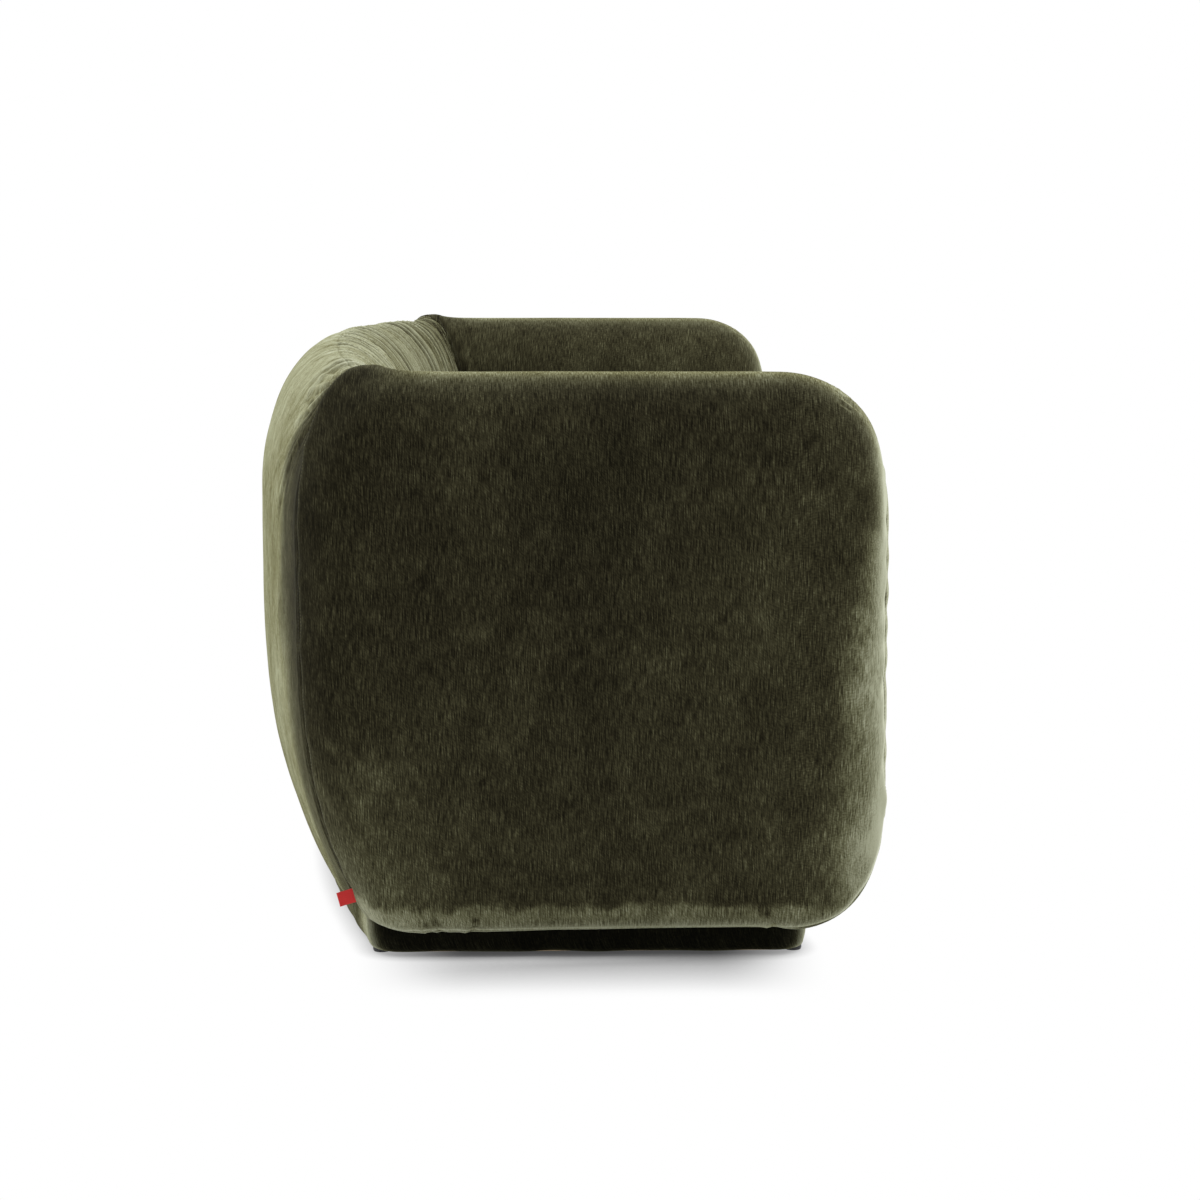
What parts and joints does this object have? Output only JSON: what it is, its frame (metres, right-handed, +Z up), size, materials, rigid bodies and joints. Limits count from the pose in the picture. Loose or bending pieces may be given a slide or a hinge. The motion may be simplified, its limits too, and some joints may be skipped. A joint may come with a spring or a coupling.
{
  "type": "curved sofa",
  "caption": "Curved sofa with pillow-like arms, an arched padded back, a loose crescent seat cushion and a low upholstered plinth on round glides.",
  "frame": {"origin": "on the floor under the middle of the sofa's overall box", "axes": "+X along the width, the seat's front faces -Y, +Z up"},
  "size_m": [2.2, 0.896, 0.793],
  "materials": {
    "velvet": "olive velvet with a fine vertical slub, crushed nap",
    "velvet_dark": "the same olive velvet on the plinth and underside",
    "timber": "planed softwood, unfinished",
    "plywood": "birch plywood, unfinished",
    "foam": "cream upholstery foam",
    "steel": "zinc-plated",
    "glide_black": "black moulded plastic",
    "black_cloth": "black non-woven lining",
    "webbing": "elastic webbing",
    "tab_red": "plain red woven tab"
  },
  "bodies": {
    "sofa": {"glides": "glide_black", "glide_screws": "steel", "plinth_frame": "timber", "plinth_cover": "velvet_dark", "plinth_bolts": "steel", "seat_front_rail": "plywood", "seat_rear_rail": "plywood", "seat_end_rails": "plywood", "seat_cross_rails": "timber", "corner_blocks": "timber", "seat_springs": "steel", "spring_clips": "steel", "deck_cloth": "black_cloth", "deck_pad": "foam", "back_ribs": "plywood", "back_rails": "timber", "back_webbing": "webbing", "back_foam": "foam", "outside_back_cover": "velvet", "inside_back_cover": "velvet", "arm_ribs_left": "plywood", "arm_ribs_right": "plywood", "arm_rails_left": "timber", "arm_rails_right": "timber", "arm_foam_left": "foam", "arm_foam_right": "foam", "arm_cover_left": "velvet", "arm_cover_right": "velvet", "arm_front_left": "velvet", "arm_front_right": "velvet", "arm_front_pad_left": "foam", "arm_front_pad_right": "foam", "apron_foam": "foam", "apron_cover": "velvet", "dust_cover": "black_cloth", "seam_tab": "tab_red"},
    "cushion": {"cushion_core": "foam", "cushion_top": "velvet", "cushion_band": "velvet", "cushion_bottom": "velvet_dark", "zip_tape": "black_cloth", "zip_pull": "steel"}
  },
  "joints": [
    {"name": "cushion_lift", "type": "slide", "parent": "sofa", "child": "cushion", "axis": [0, 0, 1], "range_m": [0, 0.55]}
  ]
}
